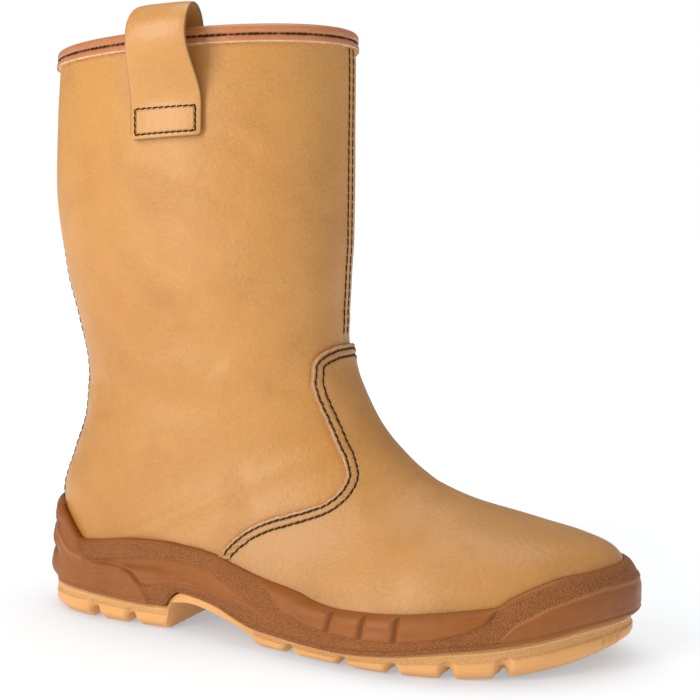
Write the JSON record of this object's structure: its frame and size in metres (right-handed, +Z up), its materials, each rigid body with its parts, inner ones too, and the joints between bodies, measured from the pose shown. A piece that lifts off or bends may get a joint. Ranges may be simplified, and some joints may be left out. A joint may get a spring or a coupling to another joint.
{
  "type": "rigger boot",
  "caption": "Pull-on leather work boot for the right foot, with a tall open shaft, a bound collar with pull loops, and a moulded sole with a heel block and lugs.",
  "frame": {"origin": "on the floor, under the middle of the heel tread", "axes": "+X towards the toe, +Y towards the medial side of the foot, +Z up"},
  "size_m": [0.3006, 0.1379, 0.2938],
  "materials": {
    "upper_leather": "smooth, lightly waxed",
    "vamp_leather": "smooth, lightly waxed",
    "midsole_rubber": "moulded, satin with a pebbled band",
    "outsole_rubber": "moulded, satin",
    "insole_board": "felted",
    "binding_leather": "semi-gloss",
    "loop_leather": "smooth, lightly waxed"
  },
  "bodies": {
    "root": {"upper": "upper_leather", "vamp": "vamp_leather", "midsole": "midsole_rubber", "outsole": "outsole_rubber", "insole": "insole_board", "collar_binding": "binding_leather", "pull_loop_lateral": "loop_leather", "pull_loop_medial": "loop_leather"}
  },
  "joints": []
}
